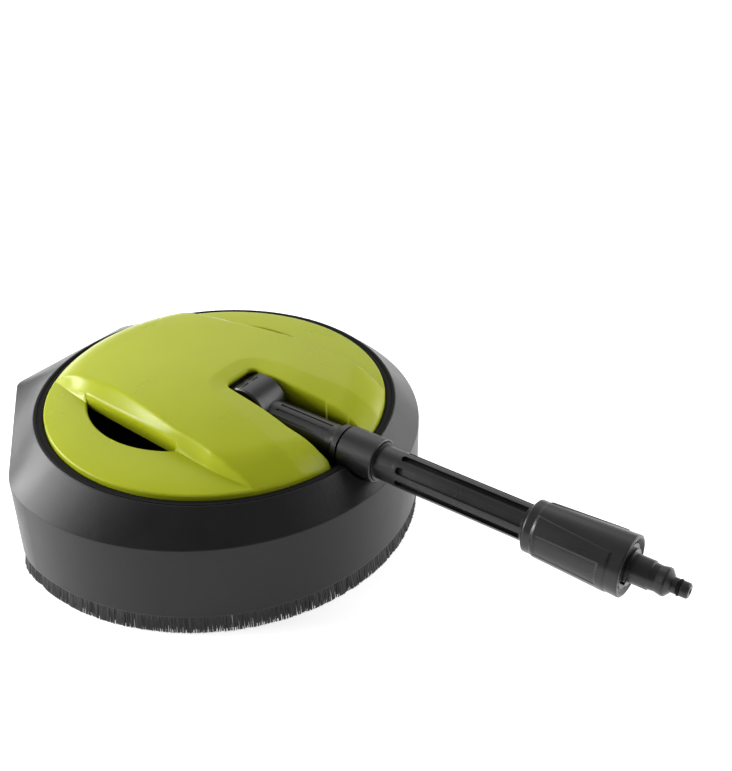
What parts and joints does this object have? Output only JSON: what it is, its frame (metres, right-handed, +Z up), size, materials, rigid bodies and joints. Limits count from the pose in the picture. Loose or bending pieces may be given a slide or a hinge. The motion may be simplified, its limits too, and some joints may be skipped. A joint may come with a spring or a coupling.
{
  "type": "surface cleaner",
  "caption": "Round surface cleaner: bell housing with bristle skirt, domed cover, twin-arm water rotor and a tilting stub lance with a plug-in nipple.",
  "frame": {"origin": "the rotor's axis at floor level, in the plane of the bristle tips", "axes": "+Z up along the rotor axis, +X along the lance towards its nipple, +Y to the left of someone looking along the lance"},
  "size_m": [0.506, 0.302, 0.115],
  "materials": {
    "shell": "dark grey satin moulded plastic with a fine grain",
    "cover": "lime green satin moulded plastic",
    "black_plastic": "black moulded plastic, satin",
    "soft_black": "black rubber-like trim and seals",
    "bristle": "black nylon bristles",
    "steel": "zinc-plated or stainless steel",
    "bearing": "ground bearing steel",
    "brass": "turned brass",
    "alloy": "turned aluminium"
  },
  "bodies": {
    "base": {"housing_shell": "shell", "trim_ring": "soft_black", "top_cover": "cover", "cover_screws": "steel", "brush_rail": "black_plastic", "brush_bristles": "bristle", "brush_screws": "steel", "bearing_housing": "alloy", "centre_screws": "steel", "bearing_spacer": "steel", "upper_bearing_outer_race": "bearing", "lower_bearing_outer_race": "bearing", "shaft_seal": "soft_black", "inlet_manifold": "black_plastic", "trunnion_cap_left": "black_plastic", "trunnion_cap_right": "black_plastic", "cap_screws": "steel"},
    "rotor": {"rotor_shaft": "steel", "upper_bearing_inner_race": "bearing", "lower_bearing_inner_race": "bearing", "upper_bearing_balls": "bearing", "lower_bearing_balls": "bearing", "shaft_circlip": "steel", "rotor_hub": "alloy", "rotor_nut": "brass", "spray_arm_left": "steel", "spray_arm_right": "steel", "nozzle_holder_left": "black_plastic", "nozzle_holder_right": "black_plastic", "nozzle_tip_left": "brass", "nozzle_tip_right": "brass"},
    "lance": {"swivel_arm": "black_plastic", "trunnion_seals": "soft_black", "spigot_seal": "soft_black", "lance_tube": "black_plastic", "water_pipe": "steel", "sleeve_circlip": "steel", "inlet_spigot": "black_plastic", "nipple_seal": "soft_black"},
    "collar": {"union_collar": "black_plastic"},
    "sleeve": {"coupling_sleeve": "black_plastic"}
  },
  "joints": [
    {"name": "rotor_spin", "type": "hinge", "parent": "base", "child": "rotor", "pos_m": [0, 0, 0.05], "axis": [0, 0, 1], "continuous": true},
    {"name": "lance_tilt", "type": "hinge", "parent": "base", "child": "lance", "pos_m": [0.037, 0, 0.094], "axis": [0, -1, 0], "range_deg": [0, 85]},
    {"name": "collar_twist", "type": "hinge", "parent": "lance", "child": "collar", "pos_m": [0.13, 0, 0.0915], "axis": [1, 0, 0], "range_deg": [0, 60]},
    {"name": "sleeve_twist", "type": "hinge", "parent": "lance", "child": "sleeve", "pos_m": [0.285, 0, 0.0915], "axis": [1, 0, 0], "range_deg": [0, 60]}
  ]
}
